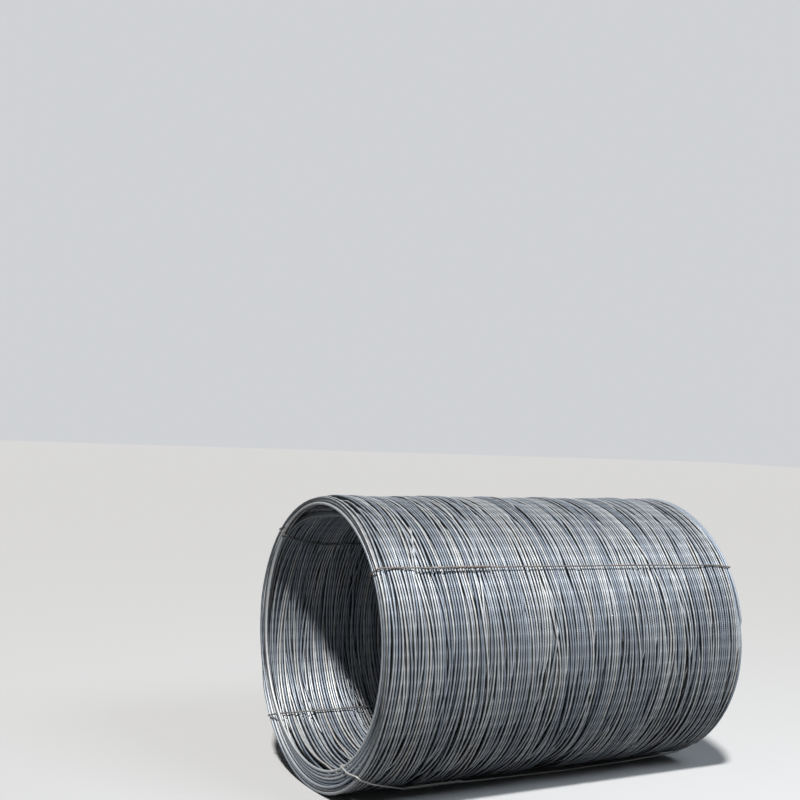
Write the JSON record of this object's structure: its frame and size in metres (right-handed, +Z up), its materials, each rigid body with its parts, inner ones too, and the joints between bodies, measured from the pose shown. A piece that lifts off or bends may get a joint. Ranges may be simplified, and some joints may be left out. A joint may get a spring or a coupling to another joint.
{
  "type": "coil of wire rod",
  "caption": "Coil of ribbed steel wire rod lying on its side, wound round an open eye and bound with twisted wire ties.",
  "frame": {"origin": "middle of the lowest line of the coil, on the floor", "axes": "+Z up, X along the coil's axis with the near end towards -X, +Y away from the camera's side"},
  "size_m": [1.8751, 1.25, 1.25],
  "materials": {
    "rolled_steel": "blue-grey mill scale with a satin sheen",
    "tie_wire": "plain drawn wire, dull grey with light rust"
  },
  "bodies": {
    "root": {"wire_rod": "rolled_steel", "tie_front_upper": "tie_wire", "tie_back_upper": "tie_wire", "tie_back_lower": "tie_wire", "tie_front_lower": "tie_wire"}
  },
  "joints": []
}
